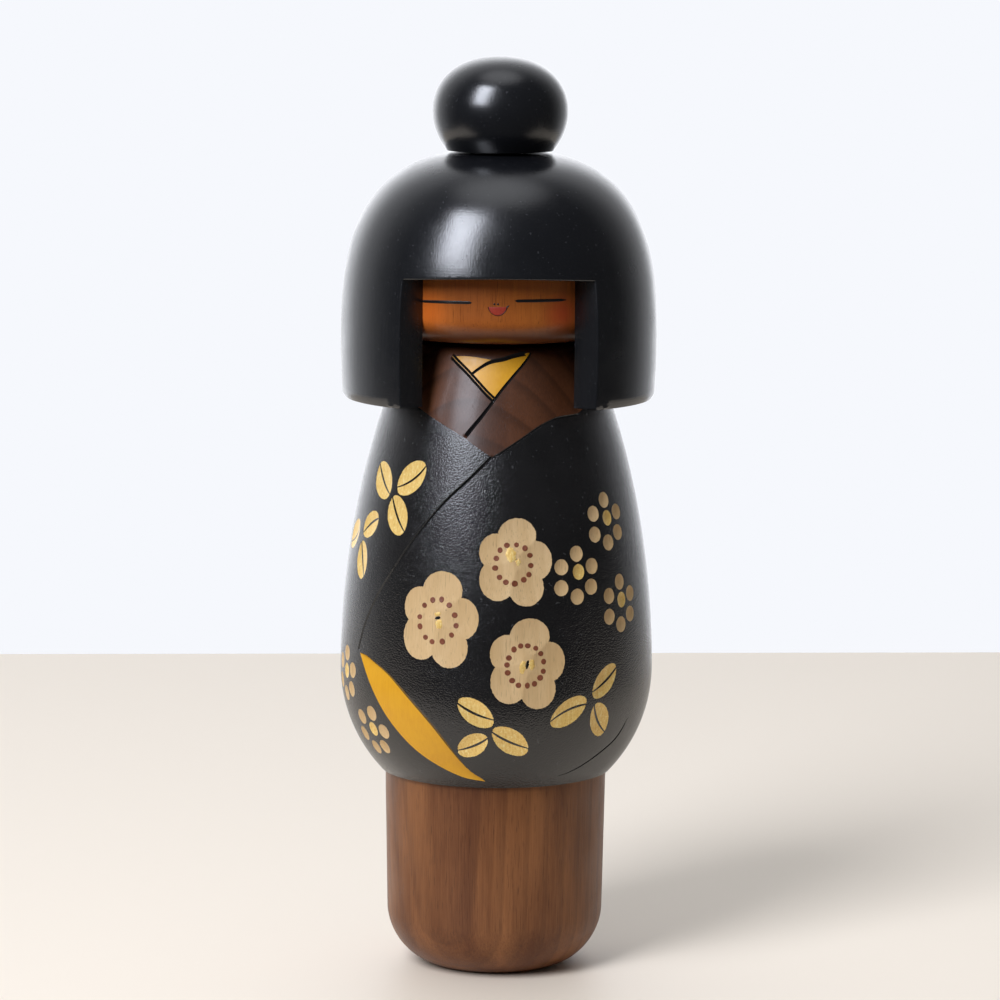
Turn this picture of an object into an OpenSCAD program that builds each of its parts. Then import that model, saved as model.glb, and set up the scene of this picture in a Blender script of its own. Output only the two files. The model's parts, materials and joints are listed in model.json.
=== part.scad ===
// A turned wooden doll: a round body with a bare foot and a lacquered kimono,
// and a head that turns on a dowel at the neck. Millimetres, +Z up, the front
// faces -Y, and the origin is the centre of the underside.

/* [Foot] */
// Height of the bare foot, from the table to the hem of the kimono
foot_h = 54.8; // [50:0.2:58]
// Radius of the foot at the hem
foot_r = 30.5; // [27:0.25:32]
// How much narrower the foot is at the table than at the hem
foot_taper = 1; // [0:0.1:3]
// Width of the rounding around the underside
foot_round_w = 13.9; // [4:0.1:16]
// Height of the rounding around the underside
foot_round_h = 15.7; // [4:0.1:24]
// Squareness of that rounding, where 2 is an ellipse
foot_power = 1.85; // [1.4:0.05:2.4]

/* [Kimono and chest] */
// Largest radius of the body
body_r = 43; // [41:0.25:45]
// Height of the widest place
belly_z = 83.2; // [80:0.1:86]
// Radius of the long arc from the widest place up to the shoulder
flank_arc = 231; // [200:1:260]
// Radius of the short arc from the widest place down to the hem
hem_arc = 41.5; // [38:0.5:44]
// Height of the top of the shoulder
shoulder_z = 173.5; // [170:0.5:174]
// Rounding of the shoulder's edge
shoulder_round = 4; // [1:0.5:6]

/* [Neck] */
// Radius of the short neck under the head
neck_r = 13; // [11:0.5:16]
// Height of the short neck
neck_h = 1.3; // [0.5:0.1:1.4]
// Radius of the dowel that the head turns on
pivot_r = 8; // [5:0.5:10]
// Depth of the dowel's hole in the body
pivot_in_body = 24; // [12:1:40]
// Depth of the dowel's hole in the head
pivot_in_head = 19; // [10:1:21]
// Gap all round between the dowel and its hole in the head
pivot_gap = 0.05; // [0.02:0.01:0.1]

/* [Head] */
// Radius of the face block, which fills the hair shell
face_r = 34.8; // [32:0.2:36]
// Height of the face block
face_h = 25; // [23:0.5:26]
// Height of the chin above the table
chin_z = 175; // [175:0.1:176]
// Rounding of the chin
chin_round = 7.5; // [2:0.5:9]
// Largest radius of the hair shell
hair_r = 43.2; // [41.5:0.1:44]
// Height of the lower rim of the hair
hair_rim_z = 158; // [156:0.5:164]
// Height of the hair's widest place
hair_wide_z = 173; // [168:0.5:174]
// Height of the crown
crown_z = 225.2; // [222:0.1:228]
// Squareness of the hair's outline, where 2 is an ellipse
hair_power = 2.75; // [2.2:0.05:3]
// Radius of the arc from the hair's widest place down to its rim
rim_arc = 190; // [80:5:300]

/* [Window for the face] */
// Half of the angle between the window's two sides
window_half = 45; // [35:0.5:55]
// How far in front of the axis the two sides would meet
window_apex = 7.9; // [0:0.1:12]
// Height of the window's upper corners
window_z = 192.5; // [188:0.5:196]
// Rise of the window's upper edge at its middle
window_rise = 1.1; // [0.2:0.1:3]

/* [Bun] */
// Largest radius of the bun
bun_r = 18.4; // [15:0.1:22]
// Height of the bun's widest place above the crown
bun_wide_h = 10.3; // [9:0.1:13]
// Height of the bun above its widest place
bun_top_h = 15; // [12:0.1:17]
// How far the full bun would reach below its widest place
bun_low_h = 17.5; // [15:0.1:20]
// Squareness of the bun's outline above its widest place
bun_power = 2.2; // [2:0.02:2.6]
// Squareness of the bun's outline below its widest place
bun_low_power = 1.9; // [1.6:0.02:2.2]
// Radius of the bun's glued dowel
bun_dowel_r = 4; // [2:0.5:6]
// Depth of that dowel in the bun and in the hair shell
bun_dowel_half = 12; // [8:1:16]

/* [Carving] */
// Depth of the engraved lines and of the yellow lining's panel
line_depth = 0.6; // [0.3:0.1:1]
// Width of the engraved lines
line_w = 0.9; // [0.6:0.1:1.6]
// Depth of the scooped petals and leaves
scoop_depth = 0.7; // [0.5:0.1:1.2]

/* [Hidden] */
$fn = 96;
outline_steps = 20;
turn_fn = 180;
// Plum blossoms: angle from the front, height of the centre, half width, half height
plums = [[6.8, 117.5, 10, 11.7], [-21.8, 102, 10.8, 12.6], [11.8, 90.5, 10.6, 12]];
// Small blossoms: angle from the front and height of the centre
sprays = [[50.5, 127], [32.3, 113.6], [52.8, 105], [-71.5, 83.5], [-55, 69.5]];
// Leaves: angle from the front, height, turn from upright, half length, half width
leaves = [
    [-57.5, 137, 8, 5.6, 3.1], [-39.8, 138.7, -50, 5.9, 3.1], [-44.3, 128.6, 15, 5.5, 3.2],
    [-61, 124.7, -35, 4.2, 3], [-76, 120.7, 10, 4.6, 3], [-63.8, 114.7, -5, 5.8, 3],
    [-6.9, 77.4, 52, 6.6, 3.3], [-8.9, 68.2, -55, 5.2, 3.3], [5.4, 69.6, 48, 6.6, 3.5],
    [27.8, 77.5, -52, 6.8, 3.4], [42.8, 84.2, -32, 5.4, 3.2], [42.7, 73.9, 8, 5.2, 3.3],
];
flank_x = body_r - flank_arc;
hem_x = body_r - hem_arc;
face_top_z = chin_z + face_h;
neck_top_z = shoulder_z + neck_h;
bun_z = crown_z + bun_wide_h;

// Radius of the kimono at a height
function kimono_at(z) =
    let (arc = z > belly_z ? flank_arc : hem_arc)
    body_r - arc + sqrt(arc * arc - pow(z - belly_z, 2));
// A quarter of a superellipse from its side (a, 0) to its top (0, b)
function quarter(a, b, power, steps = outline_steps) =
    [for (i = [0:steps]) let (t = 90 * i / steps)
        [a * pow(max(cos(t), 0), 2 / power), b * pow(sin(t), 2 / power)]];

// Curvature of the body's surface along a direction turned from upright
function bend(turn) = pow(sin(turn), 2) / body_r + pow(cos(turn), 2) / flank_arc;
// Radius of a cutter that leaves a scoop of this half width where the surface bends so
function cutter_r(half, turn) = 1 / (2 * scoop_depth / (half * half) - bend(turn));

// Half of the foot's outline, up to inside the kimono
module foot_outline() {
    rest_r = foot_r - foot_taper * (1 - foot_round_h / foot_h) - foot_round_w;
    corner = [for (p = quarter(foot_round_w, foot_round_h, foot_power, outline_steps / 2))
        [rest_r + p[0], foot_round_h - p[1]]];
    polygon(concat([[0, belly_z], [foot_r, belly_z], [foot_r, foot_h]], corner, [[0, 0]]));
}

// Half of the outline of the kimono and the chest, with the shoulder's edge rounded,
// drawn smaller by inset
module torso_outline(inset = 0) {
    round_z = shoulder_z - shoulder_round;
    round_x = flank_x + sqrt(pow(flank_arc - shoulder_round, 2) - pow(round_z - belly_z, 2));
    touch_z = belly_z + (round_z - belly_z) * flank_arc / (flank_arc - shoulder_round);
    intersection() {
        translate([flank_x, belly_z]) circle(flank_arc - inset, $fn = 720);
        translate([0, belly_z]) square([body_r, touch_z - belly_z]);
    }
    intersection() {
        translate([round_x, round_z]) circle(shoulder_round - inset);
        translate([0, touch_z - 1]) square([body_r, shoulder_round + 2]);
    }
    translate([0, touch_z - 1]) square([round_x, shoulder_z - inset - touch_z + 1]);
    intersection() {
        translate([hem_x, belly_z]) circle(hem_arc - inset, $fn = 360);
        translate([0, foot_h]) square([body_r, belly_z - foot_h]);
    }
}

// The outer skin of the torso, as deep as an engraved line
module skin() {
    difference() {
        translate([0, 0, foot_h - 1]) cylinder(r = body_r + 1, h = shoulder_z + 2 - foot_h);
        rotate_extrude($fn = turn_fn) torso_outline(line_depth);
    }
}

// Cuts a drawing of the front, with x to the right and y up, into the skin
module engrave() {
    intersection() {
        skin();
        rotate([90, 0, 0]) linear_extrude(body_r + 1) children();
    }
}

// A line from a to b that bows to its left by sag
module stroke(a, b, sag) {
    span = norm(b - a);
    r = (span * span / 4 + sag * sag) / (2 * abs(sag));
    translate((a + b) / 2) rotate(atan2(b[1] - a[1], b[0] - a[0])) intersection() {
        translate([0, sign(sag) * (abs(sag) - r)]) difference() {
            circle(r + line_w / 2, $fn = turn_fn);
            circle(r - line_w / 2, $fn = turn_fn);
        }
        square([span, 4 * abs(sag) + 4 * line_w], center = true);
    }
}

// The space between two arcs from a to b, one bowing to the left and one to the right
module lens(a, b, sag_left, sag_right) {
    span = norm(b - a);
    left_r = (span * span / 4 + sag_left * sag_left) / (2 * sag_left);
    right_r = (span * span / 4 + sag_right * sag_right) / (2 * sag_right);
    translate((a + b) / 2) rotate(atan2(b[1] - a[1], b[0] - a[0])) intersection() {
        translate([0, sag_left - left_r]) circle(left_r, $fn = turn_fn);
        translate([0, right_r - sag_right]) circle(right_r, $fn = turn_fn);
    }
}

// Places a cutter on the torso, at an angle from the front and a height, facing outwards
module on_torso(angle, z) {
    arc = z > belly_z ? flank_arc : hem_arc;
    rotate([0, 0, angle]) translate([0, -kimono_at(z), z])
        rotate([-asin((z - belly_z) / arc), 0, 0]) children();
}

// The cutter of an oval scoop, with its long side upright
module oval_cutter(half_w, half_l, turn) {
    rw = cutter_r(half_w, turn + 90);
    rl = cutter_r(half_l, turn);
    translate([0, scoop_depth - rw, 0]) rotate_extrude() intersection() {
        translate([rw - rl, 0]) circle(rl, $fn = turn_fn);
        translate([0, -half_l - 1]) square([rw + 1, 2 * half_l + 2]);
    }
}

module plum_cutter(angle, z, half_w, half_h) {
    for (i = [0:4]) {
        a = angle + (half_w * 0.52) * sin(72 * i) / body_r * 180 / PI;
        on_torso(a, z + half_h * 0.56 * cos(72 * i)) oval_cutter(half_w * 0.48, half_h * 0.44, 0);
    }
}

module spray_cutter(angle, z) {
    on_torso(angle, z) oval_cutter(1.9, 2.3, 0);
    for (i = [0:5]) {
        a = angle + 5.1 * sin(60 * i) / body_r * 180 / PI;
        on_torso(a, z + 5.6 * cos(60 * i)) oval_cutter(1.9, 2.3, 0);
    }
}

module carving() {
    collar_foot = [-7.7, 150.5];
    collar_cross = [-0.6, 160.3];
    v_point = [0, 146.5];
    flap_side = [-37.6, 91];
    engrave() {
        stroke([-12.1, 170.8], collar_cross, -0.5);
        stroke([9, 170.8], collar_foot, 0.4);
        stroke([-6.5, 166.8], [-1.9, 170.8], 0.2);
        stroke([-18.2, 157.6], v_point, -0.2);
        stroke(v_point, [23, 156], -1);
        stroke(flap_side, v_point, 4.5);
        stroke([35.2, 71.5], [15.6, 57.8], 1);
        lens([-36.6, 89.2], [-3, 57.2], 1.4, 6.8);
    }
    for (p = plums) plum_cutter(p[0], p[1], p[2], p[3]);
    for (s = sprays) spray_cutter(s[0], s[1]);
    for (l = leaves) on_torso(l[0], l[1]) rotate([0, l[2], 0]) oval_cutter(l[4], l[3], l[2]);
}

module body() {
    color([0.1, 0.09, 0.09]) difference() {
        union() {
            rotate_extrude($fn = turn_fn) torso_outline();
            rotate_extrude($fn = turn_fn) foot_outline();
            cylinder(r = neck_r, h = neck_top_z);
        }
        translate([0, 0, neck_top_z - pivot_in_body]) cylinder(r = pivot_r, h = pivot_in_body + 1);
        carving();
    }
}

// A dowel with a small chamfer at both ends
module dowel(r, h) {
    rotate_extrude() polygon([[0, 0], [r - 0.5, 0], [r, 0.5], [r, h - 0.5], [r - 0.5, h], [0, h]]);
}

module neck_dowel() {
    color([0.72, 0.58, 0.4]) translate([0, 0, neck_top_z - pivot_in_body])
        dowel(pivot_r, pivot_in_body + chin_z + pivot_in_head - 0.5 - neck_top_z);
}

module face_block() {
    color([0.78, 0.42, 0.16]) translate([0, 0, chin_z]) difference() {
        rotate_extrude($fn = turn_fn) {
            translate([0, chin_round]) square([face_r, face_h - chin_round]);
            square([face_r - chin_round, face_h]);
            intersection() {
                translate([face_r - chin_round, chin_round]) circle(chin_round);
                square([face_r, chin_round]);
            }
        }
        translate([0, 0, -1]) cylinder(r = pivot_r + pivot_gap, h = pivot_in_head + 1);
    }
}

// Half of the hair's outer outline
module hair_outline() {
    crown = quarter(hair_r, crown_z - hair_wide_z, hair_power);
    translate([0, hair_wide_z]) polygon(concat([[0, 0]], crown));
    intersection() {
        translate([hair_r - rim_arc, hair_wide_z]) circle(rim_arc, $fn = 720);
        translate([0, hair_rim_z]) square([hair_r, hair_wide_z - hair_rim_z]);
    }
}

// The wedge that opens the hair in front of the face, with an arched upper edge
module window_cutter() {
    reach = 2 * hair_r;
    aside = window_apex * sin(window_half);
    corner = sin(window_half) * (sqrt(hair_r * hair_r - aside * aside) - window_apex * cos(window_half));
    arch_r = (corner * corner + window_rise * window_rise) / (2 * window_rise);
    intersection() {
        linear_extrude(window_z + window_rise)
            translate([0, -window_apex]) polygon([[0, 0], reach * [-sin(window_half), -cos(window_half)],
                reach * [sin(window_half), -cos(window_half)]]);
        rotate([90, 0, 0]) linear_extrude(hair_r + 1)
            translate([0, window_z + window_rise - arch_r]) circle(arch_r, $fn = 720);
    }
}

module hair_shell() {
    color([0.08, 0.08, 0.09]) difference() {
        rotate_extrude($fn = turn_fn) hair_outline();
        translate([0, 0, hair_rim_z - 1]) cylinder(r = face_r, h = face_top_z - hair_rim_z + 1, $fn = turn_fn);
        window_cutter();
        translate([0, 0, crown_z - bun_dowel_half]) cylinder(r = bun_dowel_r, h = bun_dowel_half + 1);
    }
}

module bun_dowel() {
    color([0.72, 0.58, 0.4]) translate([0, 0, crown_z - bun_dowel_half])
        dowel(bun_dowel_r, 2 * bun_dowel_half);
}

module bun() {
    upper = quarter(bun_r, bun_top_h, bun_power);
    lower = [for (p = quarter(bun_r, bun_low_h, bun_low_power)) [p[0], -p[1]]];
    color([0.08, 0.08, 0.09]) difference() {
        translate([0, 0, bun_z]) rotate_extrude($fn = turn_fn) intersection() {
            polygon(concat([[0, -bun_low_h]], [for (i = [outline_steps - 1:-1:0]) lower[i]],
                [for (i = [1:outline_steps]) upper[i]]));
            translate([0, -bun_wide_h]) square([bun_r, bun_wide_h + bun_top_h]);
        }
        translate([0, 0, crown_z - 1]) cylinder(r = bun_dowel_r, h = bun_dowel_half + 1);
    }
}

body();
neck_dowel();
face_block();
hair_shell();
bun_dowel();
bun();
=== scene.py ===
import json
import math

import bpy
import numpy as np
from mathutils import Matrix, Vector
from mathutils.geometry import delaunay_2d_cdt
from mathutils.kdtree import KDTree

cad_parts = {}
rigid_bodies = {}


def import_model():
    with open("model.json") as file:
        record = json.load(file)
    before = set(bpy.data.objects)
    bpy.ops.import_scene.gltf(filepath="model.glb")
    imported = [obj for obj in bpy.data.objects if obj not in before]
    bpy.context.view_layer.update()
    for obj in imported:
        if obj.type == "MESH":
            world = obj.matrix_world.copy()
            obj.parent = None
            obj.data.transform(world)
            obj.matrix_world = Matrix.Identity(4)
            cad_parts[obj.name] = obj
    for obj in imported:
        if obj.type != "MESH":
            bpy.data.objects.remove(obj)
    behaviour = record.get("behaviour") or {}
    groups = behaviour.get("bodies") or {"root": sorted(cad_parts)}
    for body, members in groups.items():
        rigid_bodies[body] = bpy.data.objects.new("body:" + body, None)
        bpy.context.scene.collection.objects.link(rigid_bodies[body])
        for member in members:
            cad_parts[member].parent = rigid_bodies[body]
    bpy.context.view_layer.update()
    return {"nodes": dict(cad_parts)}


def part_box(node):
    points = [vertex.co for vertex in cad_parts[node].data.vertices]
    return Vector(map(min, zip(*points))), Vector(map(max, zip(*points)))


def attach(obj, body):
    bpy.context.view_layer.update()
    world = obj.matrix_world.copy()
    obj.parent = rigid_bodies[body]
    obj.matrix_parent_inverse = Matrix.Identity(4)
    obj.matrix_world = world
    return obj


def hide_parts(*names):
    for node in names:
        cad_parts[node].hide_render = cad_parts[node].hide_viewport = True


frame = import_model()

# A turned wooden doll. Sizes are in millimetres and angles in degrees until a mesh is made.
# +Z is up, the front faces -Y, and an azimuth is counted from the front towards +X.
MM = 0.001

# ---- sizes


def corners(node):
    """Lowest and highest corner of a CAD node, in millimetres."""
    return [np.array(corner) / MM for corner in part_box(node)]


BODY, FACE, HAIR, BUN = [corners(node)[1] for node in ("body", "face_block", "hair_shell", "bun")]
NECK_DOWEL, BUN_DOWEL = corners("neck_dowel"), corners("bun_dowel")
BODY_R, NECK_TOP = BODY[0], BODY[2]
FACE_R, FACE_TOP = FACE[0], FACE[2]
CHIN_Z = corners("face_block")[0][2]
HAIR_R, CROWN_Z = HAIR[0], HAIR[2]
RIM_Z = corners("hair_shell")[0][2]
BUN_R, BUN_TOP = BUN[0], BUN[2]
PIVOT_R, PIVOT_LOW, PIVOT_TOP = NECK_DOWEL[1][0], NECK_DOWEL[0][2], NECK_DOWEL[1][2]
PEG_R, PEG_LOW, PEG_TOP = BUN_DOWEL[1][0], BUN_DOWEL[0][2], BUN_DOWEL[1][2]

FOOT_H, FOOT_R, FOOT_TAPER = 54.8, 30.5, 1
FOOT_ROUND, FOOT_POWER = np.array([13.9, 15.7]), 1.85
BELLY_Z, FLANK_ARC, HEM_ARC = 83.2, 231, 41.5
SHOULDER_Z, SHOULDER_ROUND, NECK_R = 173.5, 4, 13
CHIN_ROUND = 7.5
HAIR_WIDE_Z, HAIR_POWER, RIM_ARC = 173, 2.75, 190
WINDOW_HALF, WINDOW_APEX, WINDOW_Z, WINDOW_RISE = 45, 7.9, 192.5, 1.1
BUN_WIDE_Z, BUN_LOW_H = CROWN_Z + 10.3, 17.5
BUN_POWER, BUN_LOW_POWER = 2.2, 1.9
# Azimuth times this radius is the unrolled width that drawings are made on
UNROLL = 40
# Depth of the pockets that hold the petals, leaves and lining, and of what fills them
POCKET_FLOOR, INLAY_FLOOR = 1.7, 1.6

# Columns of points around a plain turned piece
COLUMNS = 192
# Steps between a drawn mesh's points, each up to a distance from the drawn lines, and the
# height of a row of even triangles as a share of its step
MESH_STEPS, ROW_SHARE = ((0.9, 0.55), (3.5, 1.0), (1e9, 1.9)), 0.87
# Edges around the ends of a drawn mesh
END_EDGES = 140

# ---- outlines


def around_axis(radius, turn, height):
    """Points in space at a radius, at an angle in radians from the front, and at a height."""
    radius, turn, height = np.broadcast_arrays(radius, turn, height)
    return np.stack([radius * np.sin(turn), -radius * np.cos(turn), height], 1)


def lengths_along(path):
    """Length of a path up to each of its points."""
    return np.r_[0, np.cumsum(np.hypot(*np.diff(path, axis=0).T))]


def arc(centre, radius, start, stop, step=2.0):
    """Points on a circle."""
    count = max(2, int(abs(stop - start) / step) + 1)
    turn = np.radians(np.linspace(start, stop, count))
    return np.array(centre) + np.stack([np.cos(turn), np.sin(turn)], 1) * radius


def straight(start, end, step=1.5):
    """Points from start to end."""
    start, end = np.array(start, float), np.array(end, float)
    count = max(2, int(np.hypot(*(end - start)) / step) + 1)
    return start + np.linspace(0, 1, count)[:, None] * (end - start)


def superellipse(centre, half, power, start, stop, step=2.0):
    """Points on a superellipse with these half sizes."""
    turn = np.radians(np.linspace(start, stop, int(abs(stop - start) / step) + 1))
    unit = np.stack([np.cos(turn), np.sin(turn)], 1)
    return np.array(centre) + np.sign(unit) * np.abs(unit) ** (2 / power) * half


class Outline:
    """Half of a turned piece's outline, as radius and height at a length along it."""

    def __init__(self, *stretches):
        points = np.vstack(stretches)
        moved = np.hypot(*np.diff(points, axis=0).T) > 1e-6
        self.points = points[np.r_[True, moved]]
        self.lengths = lengths_along(self.points)
        self.length = self.lengths[-1]

    def at(self, length):
        radius = np.interp(length, self.lengths, self.points[:, 0])
        return radius, np.interp(length, self.lengths, self.points[:, 1])

    def outwards(self, length, step=0.05):
        """The direction away from the piece, as its parts along the radius and up."""
        r0, z0 = self.at(np.clip(length - step, 0, self.length))
        r1, z1 = self.at(np.clip(length + step, 0, self.length))
        size = np.hypot(r1 - r0, z1 - z0)
        return (z1 - z0) / size, (r0 - r1) / size

    def length_at(self, height):
        """Length up to a height, on an outline that only climbs."""
        return np.interp(height, self.points[:, 1], self.lengths)

    def place(self, drawn, depth=0):
        """Points in space of drawn points (unrolled width, length), sunk by depth."""
        radius, height = self.at(drawn[:, 1])
        out, up = self.outwards(drawn[:, 1])
        return around_axis(radius - depth * out, drawn[:, 0] / UNROLL, height - depth * up)

    def spot(self, azimuth, height):
        """A place on the piece, as a drawn point."""
        return np.array([math.radians(azimuth) * UNROLL, self.length_at(height)])

    def beside(self, spot, offsets):
        """Drawn points at true distances to the right of and above a drawn point."""
        stretch = UNROLL / self.at(spot[1])[0]
        return spot + np.atleast_2d(offsets) * [stretch, 1]


def torso_outline():
    flank = (BODY_R - FLANK_ARC, BELLY_Z)
    hem = (BODY_R - HEM_ARC, BELLY_Z)
    hem_turn = math.degrees(math.asin((FOOT_H - BELLY_Z) / HEM_ARC))
    round_z = SHOULDER_Z - SHOULDER_ROUND
    round_turn = math.degrees(math.asin((round_z - BELLY_Z) / (FLANK_ARC - SHOULDER_ROUND)))
    round_x = flank[0] + (FLANK_ARC - SHOULDER_ROUND) * math.cos(math.radians(round_turn))
    return Outline(
        arc(hem, HEM_ARC, hem_turn, 0, 0.1),
        arc(flank, FLANK_ARC, 0, round_turn, 0.02),
        arc((round_x, round_z), SHOULDER_ROUND, round_turn, 90, 1),
    )


def hair_outline():
    """From the rim up over the crown to the peg's hole, with the rim's edge rounded."""
    edge = 0.7
    centre = HAIR_R - RIM_ARC
    low = math.degrees(math.asin((RIM_Z + edge - HAIR_WIDE_Z) / RIM_ARC))
    side_x = centre + RIM_ARC * math.cos(math.radians(low))
    crown = superellipse((0, HAIR_WIDE_Z), (HAIR_R, CROWN_Z - HAIR_WIDE_Z), HAIR_POWER, 0, 90, 0.5)
    return Outline(
        arc((side_x - edge, RIM_Z + edge), edge, -90, low, 6),
        arc((centre, HAIR_WIDE_Z), RIM_ARC, low, 0, 0.1),
        crown[crown[:, 0] > PEG_R],
        [(PEG_R, CROWN_Z), (PEG_R, PEG_LOW)],
    )


TORSO = torso_outline()
HEAD = hair_outline()
FACE_SIDE = Outline(
    arc((FACE_R - CHIN_ROUND, CHIN_Z + CHIN_ROUND), CHIN_ROUND, -90, 0, 3),
    straight((FACE_R, CHIN_Z + CHIN_ROUND), (FACE_R, FACE_TOP)),
)

# ---- meshes


def add_object(name, data):
    made = bpy.data.objects.new(name, data)
    bpy.context.scene.collection.objects.link(made)
    return made


def make_object(name, points, faces, material, crease=35):
    """A mesh object from points in millimetres, smooth apart from edges sharper than crease."""
    used, index = np.unique(np.concatenate([np.ravel(f) for f in faces]), return_inverse=True)
    mesh = bpy.data.meshes.new(name)
    new_faces, start = [], 0
    for f in faces:
        new_faces.append(index[start:start + len(f)].tolist())
        start += len(f)
    mesh.from_pydata((np.asarray(points)[used] * MM).tolist(), [], new_faces)
    mesh.validate()
    mesh.shade_smooth()
    mesh.set_sharp_from_angle(angle=math.radians(crease))
    mesh.materials.append(material)
    return add_object(name, mesh)


def turned(name, outline, material):
    """A turned piece, whose outline starts and ends on the axis."""
    turn = np.linspace(0, 2 * math.pi, COLUMNS, endpoint=False)
    points, rows = [], []
    for radius, height in outline:
        if radius < 1e-6:
            rows.append([len(points)] * COLUMNS)
            points.append((0, 0, height))
        else:
            rows.append(list(range(len(points), len(points) + COLUMNS)))
            points.extend(around_axis(radius, turn, height))
    faces = []
    for low, high in zip(rows, rows[1:]):
        for i in range(COLUMNS):
            j = (i + 1) % COLUMNS
            faces.append(list(dict.fromkeys([low[i], low[j], high[j], high[i]])))
    return make_object(name, points, faces, material)


def resample(path, step):
    """Points at even steps along a path."""
    lengths = lengths_along(path)
    at = np.linspace(0, lengths[-1], max(3, int(lengths[-1] / step) + 1))
    return np.stack([np.interp(at, lengths, path[:, 0]), np.interp(at, lengths, path[:, 1])], 1)


def smooth_path(points, step=0.5):
    """A smooth line through a few points."""
    points = np.asarray(points, float)
    first, last = 2 * points[0] - points[1], 2 * points[-1] - points[-2]
    p = np.vstack([first, points, last])
    t = np.linspace(0, 1, 24, endpoint=False)[:, None]
    made = []
    for a, b, c, d in zip(p, p[1:], p[2:], p[3:]):
        made.append(0.5 * (2 * b + (c - a) * t + (2 * a - 5 * b + 4 * c - d) * t**2
                           + (3 * b - a - 3 * c + d) * t**3))
    return resample(np.vstack([*made, points[-1:]]), step)


def sideways(path, distance):
    """A path moved to its left by a distance, which may change along it."""
    ahead = np.gradient(path, axis=0)
    ahead /= np.hypot(*ahead.T)[:, None]
    left = np.stack([-ahead[:, 1], ahead[:, 0]], 1)
    return path + left * np.reshape(distance, (-1, 1))


def band(path, half):
    """The closed loop of a line with this half width."""
    return np.vstack([sideways(path, half), sideways(path, -half)[::-1]])


def between(one, other):
    """The closed loop of two lines that share both ends."""
    return np.vstack([one, other[::-1][1:-1]])


def along(path, places, values):
    """Values at the points of a path, from the values at places from 0 to 1 along it."""
    return np.interp(np.linspace(0, 1, len(path)), places, values)


def inside(points, loop):
    """Which points lie inside a closed loop."""
    x, y = points.T
    found = np.zeros(len(points), bool)
    for (x0, y0), (x1, y1) in zip(loop, np.roll(loop, -1, 0)):
        if y0 == y1:
            continue
        crossing = (y0 > y) != (y1 > y)
        found ^= crossing & (x < (x1 - x0) * (y - y0) / (y1 - y0) + x0)
    return found


def distance_to(points, path):
    """Distance of each point from a path, and how far along it the nearest place is, 0 to 1."""
    best = np.full(len(points), 1e9)
    share = np.zeros(len(points))
    count = len(path) - 1
    for i, (a, b) in enumerate(zip(path, path[1:])):
        t = np.clip((points - a) @ (b - a) / max((b - a) @ (b - a), 1e-12), 0, 1)
        d = np.hypot(*(points - a - t[:, None] * (b - a)).T)
        closer = d < best
        best[closer], share[closer] = d[closer], ((i + t) / count)[closer]
    return best, share


class Drawing:
    """Closed shapes and lines drawn on an unrolled turned piece, which its mesh then follows."""

    def __init__(self, outline):
        self.outline = outline
        self.points, self.edges, self.loops = [], [], []
        self.shapes, self.sunk = [], []

    def line(self, path, closed=False):
        start = len(self.points)
        self.points.extend(map(tuple, path))
        ends = list(range(start, len(self.points)))
        self.edges += list(zip(ends, ends[1:] + ends[:1] if closed else ends[1:]))

    def shape(self, name, loop):
        """A closed shape, whose name is the piece that fills it."""
        self.line(loop, closed=True)
        self.shapes.append((name, np.asarray(loop)))

    def groove(self, path, half_width, depth):
        """A V-shaped line that narrows to nothing at both ends where half_width does."""
        half = np.broadcast_to(half_width, len(path)).astype(float)
        self.line(path)
        self.line(sideways(path, half))
        self.line(sideways(path, -half))
        self.sunk.append(lambda p: groove_depth(p, path, half, depth))

    def mesh(self):
        """Triangles over the whole drawing, finer near its lines."""
        width = math.pi * UNROLL
        tree = KDTree(len(self.points))
        for i, (x, y) in enumerate(self.points):
            tree.insert((x, y, 0), i)
        tree.balance()
        filler, nearest_allowed = [], 0.0
        for reach, step in MESH_STEPS:
            columns = int(2 * width / step)
            rows = int(self.outline.length / (step * ROW_SHARE))
            for row in range(1, rows):
                y = self.outline.length * row / rows
                shift = 0.5 if row % 2 else 0.0
                for column in range(1, columns):
                    x = -width + 2 * width * (column + shift) / columns
                    gap = tree.find((x, y, 0))[2]
                    if max(nearest_allowed, step * 0.45) < gap <= reach and abs(x) < width - step / 3:
                        filler.append((x, y))
            nearest_allowed = reach
        sides = np.linspace(0, self.outline.length, int(self.outline.length / 2) + 1)
        ends = np.linspace(-width, width, END_EDGES + 1)
        frame_points = [(x, y) for x in (-width, width) for y in sides[1:-1]]
        frame_points += [(x, y) for x in ends for y in (0, self.outline.length)]
        fixed = self.points + frame_points + filler
        points, _, faces, *_ = delaunay_2d_cdt(fixed, self.edges, [], 0, 1e-5, False)
        points = np.array([tuple(p) for p in points])
        return points, np.array([tuple(f) for f in faces])


def groove_depth(points, path, half, depth):
    """Depth of a V-shaped line at drawn points."""
    away, share = distance_to(points, path)
    wide = np.interp(share, np.linspace(0, 1, len(half)), half)
    return depth * np.clip(1 - away / np.maximum(wide, 1e-6), 0, 1) * np.minimum(1, wide / half.max())


def welded(points, triangles):
    """The same triangles with points that coincide joined, as at the seam behind, and which of
    them still have three corners."""
    _, first, index = np.unique(np.round(points, 4), axis=0, return_index=True, return_inverse=True)
    triangles = first[index.ravel()][triangles]
    whole = ((triangles[:, 0] != triangles[:, 1]) & (triangles[:, 1] != triangles[:, 2])
             & (triangles[:, 2] != triangles[:, 0]))
    return triangles, whole


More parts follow.
